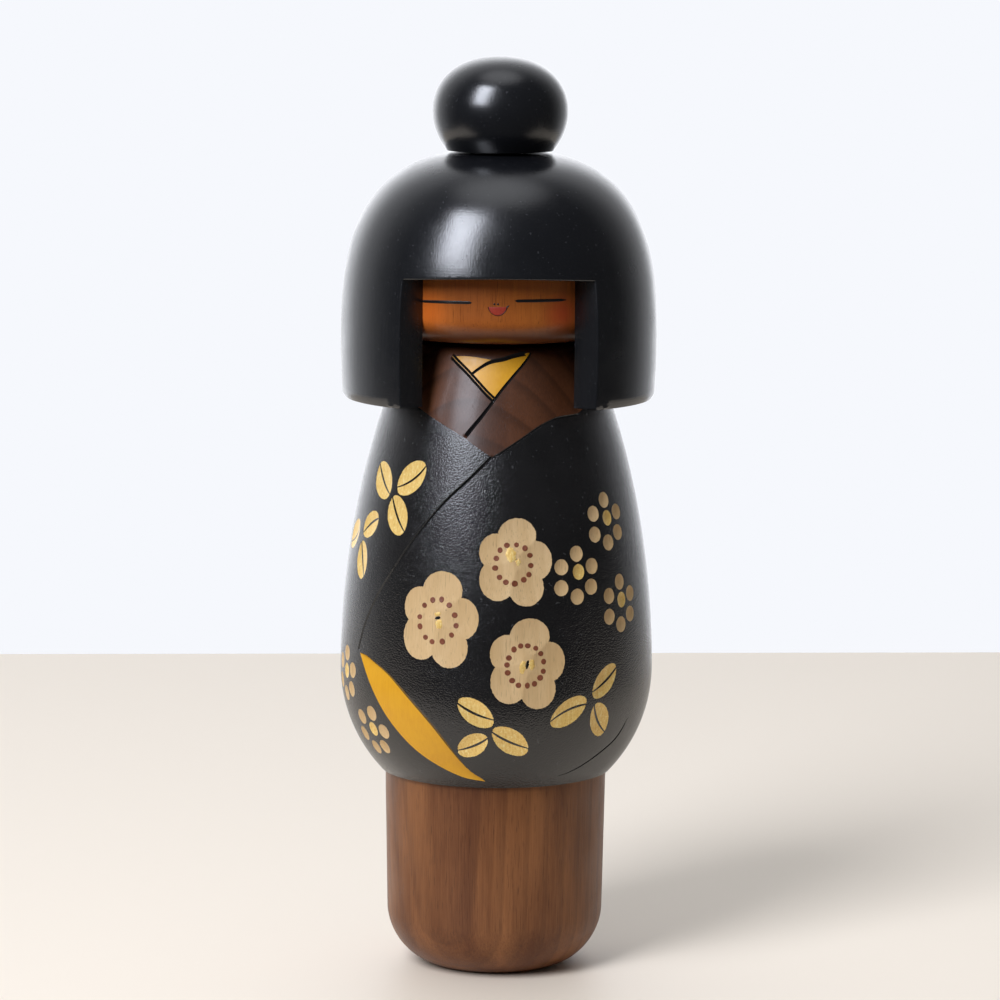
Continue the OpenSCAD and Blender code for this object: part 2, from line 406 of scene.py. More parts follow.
class Surface:
    """The meshed side of a turned piece, from which pieces and the pockets for them are taken."""

    def __init__(self, drawing, depth):
        self.outline = drawing.outline
        self.drawn, triangles = drawing.mesh()
        self.depth = depth(self.drawn)
        self.top = self.outline.place(self.drawn, self.depth)
        self.triangles, whole = welded(self.outline.place(self.drawn), triangles)
        centres = self.drawn[triangles].mean(1)
        self.triangles, centres = self.triangles[whole], centres[whole]
        self.region = np.zeros(len(self.triangles), int)
        self.names = ["ground"]
        for name, loop in drawing.shapes:
            if name not in self.names:
                self.names.append(name)
            low, high = loop.min(0), loop.max(0)
            near = np.flatnonzero(((centres > low) & (centres < high)).all(1))
            self.region[near[inside(centres[near], loop)]] = self.names.index(name)

    def of(self, *names):
        return np.isin(self.region, [self.names.index(n) for n in names])

    def borders(self, chosen):
        """Edges of the chosen triangles that no other chosen triangle has, in their direction."""
        tris = self.triangles[chosen]
        edges = np.vstack([tris[:, [0, 1]], tris[:, [1, 2]], tris[:, [2, 0]]])
        key = edges[:, 0].astype(np.int64) * (len(self.drawn) + 1) + edges[:, 1]
        back = edges[:, 1].astype(np.int64) * (len(self.drawn) + 1) + edges[:, 0]
        return edges[~np.isin(key, back)]

    def inlay(self, name, material, region):
        """A closed piece with a region's shape, down to the inlay's floor."""
        chosen = self.of(region)
        low = self.outline.place(self.drawn, INLAY_FLOOR)
        return self.closed_piece(name, material, chosen, np.zeros_like(chosen), low)

    def shell(self, name, material, chosen, low):
        """A hollow closed piece of the chosen triangles, and the same ones at the low points."""
        count = len(self.drawn)
        tris = self.triangles[chosen]
        faces = tris.tolist() + (tris[:, ::-1] + count).tolist()
        hubs = np.array([(0, 0, self.outline.points[-1, 1]), (0, 0, low[:, 2].max())])
        end = self.outline.length - 1e-6
        for a, b in self.borders(chosen).tolist():
            if self.drawn[a, 1] > end and self.drawn[b, 1] > end:
                faces += [[b, a, 2 * count], [a + count, b + count, 2 * count + 1]]
            else:
                faces.append([b, a, a + count, b + count])
        return make_object(name, np.vstack([self.top, low, hubs]), faces, material)

    def closed_piece(self, name, material, chosen, pockets, low, caps=()):
        """A piece of the chosen triangles and the floors of its pockets, with walls between.
        caps are (test, rings): border edges that pass the test close over rings of a radius and
        a height, the last of them on the axis."""
        count = len(self.drawn)
        tris = self.triangles[chosen]
        faces = tris.tolist() + (self.triangles[pockets] + count).tolist()
        points = [self.top, low]
        outer = self.borders(chosen | pockets)
        outer_key = set(map(tuple, outer.tolist()))
        for a, b in self.borders(chosen).tolist():
            if (a, b) not in outer_key or not caps:
                faces.append([b, a, a + count, b + count])
        if not caps:
            faces += (tris[:, ::-1] + count).tolist()
        made = 2 * count
        for test, rings in caps:
            edges = [(a, b) for a, b in outer.tolist() if test(self.drawn[a], self.drawn[b])]
            border = sorted({point for edge in edges for point in edge})
            turn = self.drawn[border, 0] / UNROLL
            last = dict(zip(border, border))
            for radius, height in rings:
                ring = around_axis(radius, turn, height)
                ring = ring if radius else ring[:1]
                points.append(ring)
                ids = range(made, made + len(ring)) if radius else [made] * len(border)
                made += len(ring)
                new = dict(zip(border, ids))
                faces += [list(dict.fromkeys((last[b], last[a], new[a], new[b]))) for a, b in edges]
                last = new
        return make_object(name, np.vstack(points), faces, material)


# ---- materials


def paint(name):
    """A new material, and its node tree's helper."""
    material = bpy.data.materials.new(name)
    material.use_nodes = True
    return material, Nodes(material.node_tree)


class Nodes:
    """Adds nodes to a tree. A value that is a socket is linked, and any other is set."""

    def __init__(self, tree):
        self.tree = tree

    def add(self, kind, output=0, values=None, **settings):
        node = self.tree.nodes.new(kind)
        for key, value in settings.items():
            setattr(node, key, value)
        for key, value in (values or {}).items():
            self.set(node.inputs[key], value)
        return node.outputs[output]

    def set(self, socket, value):
        if isinstance(value, bpy.types.NodeSocket):
            self.tree.links.new(value, socket)
        else:
            socket.default_value = value

    def shader(self, **values):
        node = self.tree.nodes["Principled BSDF"]
        for key, value in values.items():
            self.set(node.inputs[key.replace("_", " ")], value)

    def math(self, operation, a, b=0.0, c=0.0):
        return self.add("ShaderNodeMath", values={0: a, 1: b, 2: c}, operation=operation)

    def vector_math(self, operation, a, b, output=0):
        return self.add("ShaderNodeVectorMath", output, {0: a, 1: b}, operation=operation)

    def place(self, scale=(1, 1, 1), turn=(0, 0, 0), shift=(0, 0, 0)):
        """Places on the object in millimetres, moved, turned and then scaled."""
        place = self.add("ShaderNodeTexCoord", output="Object")
        millimetres = self.vector_math("MULTIPLY", place, (1 / MM,) * 3)
        turned_place = self.add("ShaderNodeMapping", values={
            "Vector": millimetres, "Location": shift, "Rotation": [math.radians(t) for t in turn]})
        return self.vector_math("MULTIPLY", turned_place, scale)

    def noise(self, scale, detail=3.0, roughness=0.5, distortion=0.0):
        """Noise with this many waves to the millimetre along each axis, from 0 to 1."""
        scale = (scale,) * 3 if np.isscalar(scale) else scale
        return self.add("ShaderNodeTexNoise", values={
            "Vector": self.place(scale), "Scale": 1.0, "Detail": detail, "Roughness": roughness,
            "Distortion": distortion})

    def fade(self, value, start, stop, strength):
        """From strength at start down to 0 at stop, in millimetres."""
        return self.add("ShaderNodeMapRange", values={
            "Value": value, "From Min": start * MM, "From Max": stop * MM,
            "To Min": strength, "To Max": 0.0}, interpolation_type="SMOOTHSTEP")

    def ramp(self, factor, *stops):
        """Colours or greys between places from 0 to 1."""
        node = self.tree.nodes.new("ShaderNodeValToRGB")
        node.color_ramp.interpolation = "EASE"
        while len(node.color_ramp.elements) < len(stops):
            node.color_ramp.elements.new(0.5)
        for element, (place, colour) in zip(node.color_ramp.elements, stops):
            element.position = place
            element.color = (colour,) * 3 + (1,) if np.isscalar(colour) else (*colour, 1)
        self.set(node.inputs["Fac"], factor)
        return node.outputs["Color"]

    def mix(self, factor, a, b):
        node = self.tree.nodes.new("ShaderNodeMix")
        node.data_type = "RGBA"
        for key, value in (("Factor_Float", factor), ("A_Color", a), ("B_Color", b)):
            socket = next(s for s in node.inputs if s.identifier == key)
            plain = isinstance(value, (tuple, list)) and len(value) == 3
            self.set(socket, (*value, 1) if plain else value)
        return next(s for s in node.outputs if s.identifier == "Result_Color")

    def gloss(self, tone, low, high):
        """A roughness that wanders between two values with a noise."""
        return self.ramp(tone, (0.3, low), (0.7, high))

    def bump(self, height, distance, strength=1.0, below=None):
        """A bump whose full height is distance in millimetres."""
        values = {"Height": height, "Distance": distance * MM, "Strength": strength}
        if below:
            values["Normal"] = below
        return self.add("ShaderNodeBump", values=values)


def srgb(red, green, blue):
    """A colour as light, from its values from 0 to 255."""
    return tuple((v / 255 / 12.92) if v <= 10.3 else ((v / 255 + 0.055) / 1.055) ** 2.4
                 for v in (red, green, blue))


def wood(name, dark, light, streak, ring_gap, pith, tilt, roughness, coat=0.0, pores=0.5,
         rings_seen=0.35):
    """Turned wood with its grain upright. pith is the rings' centre and tilt leans their axis."""
    material, n = paint(name)
    rings = n.place((1 / ring_gap, 1 / ring_gap, 0.1 / ring_gap), tilt, (*pith, 0))
    bent = n.noise((0.02, 0.02, 0.006), 2.0)
    ring = n.add("ShaderNodeTexWave", 1, {
        "Vector": rings, "Scale": 0.31, "Distortion": 2.2, "Detail": 2.0, "Detail Scale": 0.6,
        "Phase Offset": bent}, wave_type="RINGS", rings_direction="Z", wave_profile="SAW")
    ring_tone = n.ramp(ring, (0.0, 0.25), (0.55, 0.45), (0.9, 1.0), (1.0, 0.3))
    fibre = n.noise((2.6, 2.6, 0.05), 5.0, 0.65)
    streaks = n.noise((0.07, 0.07, 0.014), 4.0, 0.55, distortion=0.4)
    tone = n.math("MULTIPLY_ADD", fibre, 0.3, n.math("MULTIPLY", streaks, 0.7))
    base = n.mix(n.ramp(tone, (0.3, 0.0), (0.7, 1.0)), dark, light)
    base = n.mix(n.math("MULTIPLY", ring_tone, rings_seen), base, streak)
    pore = n.ramp(n.noise((4.5, 4.5, 0.16), 2.0, 0.5), (0.3, 1.0), (0.4, 0.0))
    base = n.mix(n.math("MULTIPLY", pore, pores), base, tuple(0.35 * c for c in dark))
    gloss = n.gloss(n.noise(0.08), roughness * 0.85, roughness * 1.15)
    grain = n.bump(n.math("SUBTRACT", fibre, n.math("MULTIPLY", pore, 0.6)), 0.06, 0.5)
    n.shader(Base_Color=base, Roughness=gloss, Normal=grain, IOR=1.35, Coat_Weight=coat, Coat_Roughness=0.22)
    return material, n, base


def hair_lacquer():
    """Satin black lacquer, with fine turning lines and the grain just showing through."""
    material, n = paint("hair_lacquer")
    turning = n.add("ShaderNodeTexWave", 1, {
        "Vector": n.place((1, 1, 1)), "Scale": 0.42, "Distortion": 1.2, "Detail": 3.0, "Detail Scale": 2.0},
        wave_type="BANDS", bands_direction="Z")
    grain = n.noise((2.4, 2.4, 0.06), 3.0, 0.6)
    orange_peel = n.noise(0.9, 2.0)
    bump = n.bump(turning, 0.006, 0.4)
    bump = n.bump(grain, 0.04, 0.7, below=bump)
    bump = n.bump(orange_peel, 0.02, 0.35, below=bump)
    dust = n.ramp(n.noise(1.5, 0.0), (0.79, 0.0), (0.82, 1.0))
    base = n.mix(n.math("MULTIPLY", dust, 0.5), (0.006, 0.0065, 0.008), (0.06, 0.06, 0.065))
    gloss = n.gloss(n.noise(0.06, 4.0, 0.6), 0.19, 0.28)
    n.shader(Base_Color=base, Roughness=gloss, Normal=bump, IOR=1.7)
    return material


def kimono_lacquer():
    """Black lacquer over a pebbled ground."""
    material, n = paint("kimono_lacquer")
    pebble = n.add("ShaderNodeTexVoronoi", 0, {"Vector": n.place((2.5,) * 3), "Scale": 1.0,
                                               "Smoothness": 0.6}, feature="SMOOTH_F1")
    lumps = n.noise(2.0, 3.0, 0.6)
    height = n.math("MULTIPLY_ADD", pebble, -0.7, lumps)
    bump = n.bump(height, 0.095, 1.0)
    wear = n.ramp(n.noise(0.05, 5.0, 0.65), (0.35, 0.0), (0.75, 1.0))
    base = n.mix(wear, (0.0065, 0.006, 0.006), (0.011, 0.0105, 0.0105))
    dust = n.ramp(n.noise(1.1, 0.0), (0.8, 0.0), (0.83, 1.0))
    base = n.mix(n.math("MULTIPLY", dust, 0.35), base, (0.12, 0.12, 0.12))
    gloss = n.gloss(n.noise(0.04, 4.0, 0.6), 0.18, 0.25)
    n.shader(Base_Color=base, Roughness=gloss, Normal=bump, IOR=1.64)
    return material


def lacquer(name, colour, shade, roughness, mottle=0.5, bump=0.03):
    """Brushed lacquer or paint over fine wood grain."""
    material, n = paint(name)
    grain = n.noise((1.8, 1.8, 0.1), 4.0, 0.6)
    patches = n.noise(0.25, 4.0, 0.6)
    tone = n.math("MULTIPLY_ADD", grain, 0.5, n.math("MULTIPLY", patches, 0.5))
    base = n.mix(n.math("MULTIPLY", n.ramp(tone, (0.35, 1.0), (0.62, 0.0)), mottle), colour, shade)
    gloss = n.gloss(patches, roughness * 0.85, roughness * 1.2)
    n.shader(Base_Color=base, Roughness=gloss, Normal=n.bump(grain, bump, 0.6))
    return material


def leaf_gold():
    """Matt gold paint with a fine uneven grain."""
    material, n = paint("leaf_gold")
    fine = n.noise(2.2, 3.0, 0.6)
    fibre = n.noise((2.0, 2.0, 0.15), 4.0, 0.6)
    tone = n.math("MULTIPLY_ADD", fine, 0.5, n.math("MULTIPLY", fibre, 0.5))
    base = n.ramp(tone, (0.35, srgb(224, 178, 90)), (0.5, srgb(242, 202, 116)), (0.66, srgb(255, 232, 164)))
    gloss = n.gloss(fine, 0.3, 0.46)
    n.shader(Base_Color=base, Roughness=gloss, Normal=n.bump(tone, 0.06, 0.7), Metallic=0.15)
    return material


# Blush on a cheek: azimuth and height of its middle, colour, reach
BLUSHES = [(29, 183.7, srgb(190, 62, 34), 7.5), (-33, 184.3, srgb(226, 108, 30), 9)]
BLUSH_STRENGTH = 0.62
# Painted shade: the face's colour darkens towards the chin, between these heights above it
CHIN_PAINTED_SHADE, CHIN_SHADE_LOW, CHIN_SHADE_TOP = 0.8, 2, 6.5


def face_wood():
    """Orange stained wood, with a blush on both cheeks, and painted shade darkening it towards the chin."""
    material, n, base = wood(
        "face_wood", srgb(160, 86, 34), srgb(190, 108, 44), srgb(146, 76, 30), 4.2, (46, 30), (4, 2, 0),
        0.34, coat=0.2, pores=0.6, rings_seen=0.3)
    place = n.add("ShaderNodeTexCoord", output="Object")
    for azimuth, height, colour, reach in BLUSHES:
        middle = FACE_SIDE.place(FACE_SIDE.spot(azimuth, height)[None])[0] * MM
        away = n.vector_math("DISTANCE", place, tuple(middle), "Value")
        base = n.mix(n.fade(away, 0, reach, BLUSH_STRENGTH), base, colour)
    level = n.add("ShaderNodeSeparateXYZ", "Z", {"Vector": place})
    # Painted shade: the colour is darkened towards the chin
    chin = n.fade(level, CHIN_Z + CHIN_SHADE_LOW, CHIN_Z + CHIN_SHADE_TOP, CHIN_PAINTED_SHADE)
    n.shader(Base_Color=n.mix(chin, base, srgb(70, 34, 16)))
    return material


WALNUT = wood(
    "stained_wood", srgb(92, 50, 24), srgb(148, 96, 56), srgb(78, 44, 24), 5.5, (30, 60), (7, 4, 0),
    0.42, coat=0.1)[0]
# The chest's copy of the stained wood: its rings and grain are its own, and its darker colours are partly
# painted shade
CHEST_WOOD_SHADED = wood(
    "chest_wood_shaded", srgb(72, 40, 22), srgb(106, 64, 40), srgb(54, 31, 18), 7.0, (-14, 44), (-24, 14, 0),
    0.42, coat=0.3, pores=0.35, rings_seen=0.6)[0]
PETAL = wood(
    "petal_wood", srgb(204, 168, 116), srgb(228, 196, 148), srgb(190, 152, 100), 3.4, (20, 70), (2, 3, 0),
    0.6, pores=0.4, rings_seen=0.22)[0]
DOWEL = wood(
    "dowel_wood", srgb(176, 138, 92), srgb(206, 172, 124), srgb(158, 118, 74), 1.8, (3, 2), (1, 1, 0),
    0.6)[0]
HAIR_BLACK = hair_lacquer()
KIMONO_BLACK = kimono_lacquer()
YELLOW = lacquer("lining_yellow", srgb(226, 164, 28), srgb(208, 140, 16), 0.4, mottle=0.35)
GOLD = leaf_gold()
FACE_ORANGE = face_wood()
INK = lacquer("ink_black", (0.008, 0.007, 0.007), (0.014, 0.011, 0.009), 0.35, bump=0.02)
STAMEN_BROWN = lacquer("ink_brown", srgb(134, 72, 44), srgb(92, 44, 28), 0.55, bump=0.04)
MOUTH_RED = lacquer("ink_red", srgb(178, 62, 42), srgb(150, 44, 30), 0.45)

# ---- drawings on the torso

# Most places and sizes from here to COLLAR_TOP weren't designed: a scratch program worked them
# out from points on the photo, and some were then changed by eye. The places of the eyes, nose,
# mouth and blushes came about in the same way.

# Petals of a plum blossom: offset from its centre to the right and up, half width, half height
PLUM_PETALS = [
    ((0.8, 7.6), (5.5, 4.9)), ((6.2, 0.6), (4.5, 5.4)), ((3.1, -6.8), (4.9, 5.3)),
    ((-4.7, -4.5), (5.1, 6.0)), ((-5.3, 3.1), (4.7, 5.1)),
]
# Plum blossoms: azimuth and height of the centre, size, count of stamens, the speck of lacquer
# left in the middle and the dabs of gold around it: half size, turn and offset
PLUMS = [
    (6.8, 117.7, 0.96, 13, ((0.26, 0.3), 0, (0.2, 1.0)),
     [((1.35, 2.0), -10, (-1.0, 2.2)), ((0.7, 0.8), 0, (0.9, 0.2))]),
    (-21.7, 102.0, 1.05, 12, ((0.8, 0.42), -15, (-0.1, 0.6)),
     [((1.0, 0.5), -10, (-0.2, 1.6)), ((1.0, 1.3), 10, (0.3, -1.1))]),
    (11.1, 90.5, 1.0, 15, ((0.42, 1.2), 12, (0.1, 0.1)),
     [((0.8, 1.7), 10, (-1.2, -0.6)), ((0.8, 1.3), 0, (1.3, 0.1))]),
]
STAMEN_RING, STAMEN_CENTRE, STAMEN_R = (5.1, 5.5), (-0.35, -0.25), 0.76
# Dots of a small blossom, and its heart in the middle
DOTS = [(-0.3, 4.9), (4.5, 1.2), (3.8, -4.3), (-0.8, -6.6), (-5.5, -4.0), (-5.2, 1.6)]
DOT_HALF, HEART_HALF = (2.05, 2.15), (1.8, 2.1)
# Small blossoms: azimuth and height of the heart, turn
BLOSSOMS = [(50, 127.9, 0), (32.4, 114.6, 0), (53.6, 105.6, 0), (-71.5, 83.6, 5), (-54.9, 69.2, 15)]
# Leaves by spray: azimuth and height of the middle, turn from upright, half length, half width
SPRAYS = [
    [(-57.3, 137.0, -33, 5.6, 3.8), (-39.8, 138.7, 40, 5.8, 3.8), (-44.4, 128.5, -22, 5.6, 3.7)],
    [(-61.1, 124.8, 43, 4.5, 3.2), (-76.0, 120.9, 33, 4.7, 3.3), (-64.0, 114.9, -10, 5.2, 3.1)],
    [(-7.3, 77.4, -52, 5.7, 3.35), (-8.9, 68.0, 50, 4.9, 3.2), (5.7, 69.3, -49, 6.0, 3.5)],
    [(27.5, 77.0, 55, 6.1, 3.4), (43.1, 84.4, 44, 5.7, 3.1), (42.0, 73.7, -20, 5.3, 3.3)],
]
PETAL_SCOOP, DOT_SCOOP, LEAF_SCOOP = 0.55, 0.4, 0.5
# Unevenness of the cut edges, the sharpness of a leaf's ends, and a plum blossom's flat middle
PETAL_ROUGH, DOT_ROUGH, LEAF_POINT, PLUM_MIDDLE = 0.09, 0.05, 1.85, (3.2, 3.6)
RIB_HALF, RIB_TURN, RIB_BOW = 0.34, 14, 0.9
LINING_DEPTH, LINING_BEVEL = 0.9, 1.3

# Lines of the kimono and its collar: points are azimuth and height
NECKLINE = [(-180, 158), (-60, 158), (-46, 157.4), (-35.5, 155.3), (-25, 152.8), (-15.8, 150.2),
            (-9.1, 147.7), (-2.8, 145.4)]
NECKLINE_RIGHT = [(-2.8, 145.4), (1.2, 146.8), (5.4, 148.4), (11.9, 150.7), (19.5, 153.3), (27.7, 155.1),
                  (33.1, 155.7), (43.2, 156), (54, 157.6), (90, 158), (180, 158)]
OVERLAP = [(-2.8, 145.4), (-12.4, 139.4), (-21.5, 133.7), (-29.1, 127.6), (-36.3, 121), (-43, 114.1),
           (-50.5, 106.3), (-57.2, 97.5), (-60.6, 91)]
LINING_RIGHT = [(-59.4, 89.9), (-53.3, 88.7), (-41.1, 84.1), (-26.2, 73.6), (-13.2, 60.9), (-4.6, 57)]
LINING_LEFT = [(-59.4, 89.9), (-53.1, 82.9), (-42.3, 71.9), (-31.1, 64.0), (-16.2, 58.5), (-4.6, 57)]
HEM_LINE = [(59.3, 72), (57.6, 69.4), (54.6, 66.6), (47.7, 63.4), (40.6, 60.5), (34.4, 58.7), (30, 58)]
COLLAR_LEFT = [(-29, 171.1), (-18.9, 167.7), (-11.6, 164.6), (-6, 161.9), (-1.9, 160.1)]
COLLAR_RIGHT = [(20.5, 172.3), (16.2, 170.1), (8.6, 166.5), (2.4, 163.1), (-2.0, 160.2), (-8.3, 155.7),
                (-12.4, 152.8), (-15.0, 150.8)]
COLLAR_INNER = [(-15.3, 166.7), (-11.3, 168.2), (-6.9, 169.5), (-2.9, 170.2), (2.5, 170.7), (9.5, 171.6),
                (17, 172.2)]
COLLAR_TOP = [(-29, 171.1), (-18, 171.3), (-8, 170.8), (-2.9, 170.5), (2.5, 171.0), (9.5, 171.8),
              (17, 172.3), (20.5, 172.3)]


def drawn_path(points, step=0.6, outline=TORSO):
    """A smooth drawn line through azimuths and heights."""
    return smooth_path([outline.spot(*p) for p in points], step)


def oval(outline, spot, half, turn=0, shift=(0, 0), rough=0.0, seed=0, point=2.0, step=0.36):
    """A closed drawn oval: shift and half are true distances, and turn is from upright,
    clockwise. point under 2 makes its ends sharper, and rough makes its edge uneven."""
    around = np.linspace(0, 2 * math.pi, max(24, int(4.5 * sum(half) / step)), endpoint=False)
    unit = np.stack([np.sin(around), np.cos(around)], 1)
    unit = np.sign(unit) * np.abs(unit) ** (2 / point)
    chance = np.random.default_rng(seed)
    uneven = 1 + rough * chance.uniform(-1, 1, len(around)) / max(half)
    local = unit * half * uneven[:, None]
    t = math.radians(turn)
    local = local @ np.array([[math.cos(t), -math.sin(t)], [math.sin(t), math.cos(t)]])
    return outline.beside(spot, local + shift)


def oval_depth(points, spot, half, turn, shift, depth):
    """Depth of a scoop with an oval edge at drawn points."""
    stretch = UNROLL / TORSO.at(spot[1])[0]
    local = (points - spot) / [stretch, 1] - shift
    t = math.radians(turn)
    local = local @ np.array([[math.cos(t), math.sin(t)], [-math.sin(t), math.cos(t)]])
    return depth * np.clip(1 - ((local / half) ** 2).sum(1), 0, 1)


def turned_offset(offset, turn):
    """An offset to the right and up, turned clockwise."""
    (right, up), t = offset, math.radians(turn)
    return (right * math.cos(t) + up * math.sin(t), up * math.cos(t) - right * math.sin(t))


def draw_neckline(drawing):
    """The edge between the kimono and the chest, all the way round, and a line beside it."""
    neck = np.vstack([drawn_path(NECKLINE, 0.8)[:-1], drawn_path(NECKLINE_RIGHT, 0.8)])
    width, above = math.pi * UNROLL, TORSO.length + 1
    neck[0, 0], neck[-1, 0] = -width, width
    drawing.line(neck)
    drawing.shapes.append(("chest", np.vstack([neck, [(width, above), (-width, above)]])))
    edge = drawn_path(NECKLINE_RIGHT[:8], 0.7)
    drawing.groove(sideways(edge, -0.42), np.interp(np.arange(len(edge)), [0, 5], [0.15, 0.34]), 0.3)


def draw_collar(drawing):
    """The yellow inner collar, and the black lines around it."""
    left, right = drawn_path(COLLAR_LEFT), drawn_path(COLLAR_RIGHT)
    top, inner = drawn_path(COLLAR_TOP), drawn_path(COLLAR_INNER)
    cross = int(np.argmin(np.hypot(*(right - left[-1]).T)))
    drawing.shape("collar", np.vstack([left, right[:cross][::-1], top[::-1][1:-1]]))
    widening = np.interp(np.arange(len(right)), [0, cross, len(right)], [0.4, 0.5, 0.75])
    for path, half, deep in (
            (sideways(left, -0.5), 0.4, 0.5), (sideways(left, 0.5), 0.4, 0.5), (right, widening, 0.7),
            (inner, np.linspace(0.45, 0.75, len(inner)), 0.6)):
        half = np.broadcast_to(half, len(path)).astype(float)
        drawing.shape("collar_lines", band(path, half))
        drawing.line(path)
        drawing.sunk.append(lambda p, a=path, h=half, d=deep: groove_depth(p, a, h, d))


def draw_folds(drawing):
    """The edge of the upper flap, and the fold at the lower right."""
    overlap, hem = drawn_path(OVERLAP), drawn_path(HEM_LINE)
    drawing.groove(overlap, along(overlap, [0, 0.05, 0.3, 1], [0.5, 0.5, 0.4, 0.4]), 0.45)
    drawing.groove(hem, along(hem, [0, 0.1, 0.7, 1], [0.12, 0.34, 0.28, 0.1]), 0.35)


def draw_lining(drawing):
    """The yellow lining. It returns a function that sinks it, most along its right edge."""
    right, left = drawn_path(LINING_RIGHT, 0.5), drawn_path(LINING_LEFT, 0.5)
    outer = sideways(right, LINING_BEVEL * np.sin(np.linspace(0, math.pi, len(right))) ** 0.5)
    drawing.shape("lining", between(right, left))
    drawing.line(outer[1:-1])

    def sink(points, sunk):
        to_right, to_left, to_outer = (distance_to(points, path)[0] for path in (right, left, outer))
        on_right = to_right < 1e-4
        for loop, to_shallow in ((between(right, left), to_left), (between(outer, right), to_outer)):
            across = to_right + to_shallow
            slope = LINING_DEPTH * to_shallow / np.maximum(across, 1e-6) * np.minimum(1, across / 1.2)
            sunk = np.where(inside(points, loop) & ~on_right, np.maximum(sunk, slope), sunk)
        return np.where(on_right, LINING_DEPTH * np.minimum(1, (to_left + to_outer) / 2.4), sunk)

    return sink


def draw_plums(drawing):
    """Five scooped petals for each plum blossom, around a flat middle. It returns the scoops."""
    scoops = []
    for number, (azimuth, height, size, _, speck, _) in enumerate(PLUMS):
        name, spot = f"plum_{number + 1}", TORSO.spot(azimuth, height)
        for petal, (shift, half) in enumerate(PLUM_PETALS):
            shift, half = np.array(shift) * size, np.array(half) * size
            drawing.shape(name, oval(TORSO, spot, half, 0, shift, PETAL_ROUGH, 10 * number + petal))
            scoops.append((spot, half * 1.02, 0, shift, PETAL_SCOOP))
        drawing.shape(name, oval(TORSO, spot, PLUM_MIDDLE, 0, (0, 0), 0, step=0.6))
        drawing.shape("ground", oval(TORSO, spot, *speck, 0.08, 40 + number, step=0.15))
    return scoops


def draw_blossoms(drawing):
    """Six scooped dots around a gold heart for each small blossom. It returns the scoops."""
    scoops = []
    for number, (azimuth, height, turn) in enumerate(BLOSSOMS):
        name, spot = f"blossom_{number + 1}", TORSO.spot(azimuth, height)
        for dot, offset in enumerate(DOTS):
            shift, seed = turned_offset(offset, turn), 50 + 10 * number + dot
            drawing.shape(name, oval(TORSO, spot, DOT_HALF, 0, shift, DOT_ROUGH, seed))
            scoops.append((spot, DOT_HALF, 0, shift, DOT_SCOOP))
        drawing.shape("blossom_hearts", oval(TORSO, spot, HEART_HALF, 0, (0, 0), DOT_ROUGH, 99 + number))
        scoops.append((spot, HEART_HALF, 0, (0, 0), DOT_SCOOP))
    return scoops


def draw_leaves(drawing):
    """Pointed leaves in sprays of three, each with a bowed rib left black. It returns the scoops."""
    scoops = []
    steps = np.linspace(-1, 1, 33)
    thick = RIB_HALF * (0.45 + 0.55 * (1 - steps**2)) * np.interp(steps, [-1, 1], [0.8, 1.2])
    for number, spray in enumerate(SPRAYS):
        for leaf, (azimuth, height, turn, half_length, half_width) in enumerate(spray):
            spot, half = TORSO.spot(azimuth, height), (half_width, half_length)
            loop = oval(TORSO, spot, half, turn, (0, 0), PETAL_ROUGH, 200 + 10 * number + leaf, LEAF_POINT)
            drawing.shape(f"leaves_{number + 1}", loop)
            scoops.append((spot, half, turn, (0, 0), LEAF_SCOOP))
            bow = RIB_BOW if leaf % 2 else -RIB_BOW
            rib = np.stack([bow * (steps**2 - 0.5) * -1, steps * half_length * 1.02], 1)
            rib_turn = turn + math.copysign(RIB_TURN, turn)
            rib = TORSO.beside(spot, [turned_offset(p, rib_turn) for p in rib])
            drawing.shape("ground", band(rib, thick))
    return scoops


def draw_torso():
    """The drawing of everything carved into the torso, and its depth at drawn points."""
    drawing = Drawing(TORSO)
    draw_neckline(drawing)
    draw_collar(drawing)
    draw_folds(drawing)
    sink_lining = draw_lining(drawing)
    scoops = draw_plums(drawing) + draw_blossoms(drawing) + draw_leaves(drawing)

    def depth(points):
        sunk = np.zeros(len(points))
        for groove in drawing.sunk:
            sunk = np.maximum(sunk, groove(points))
        for scoop in scoops:
            sunk = np.maximum(sunk, oval_depth(points, *scoop))
        return sink_lining(points, sunk)

    return drawing, depth


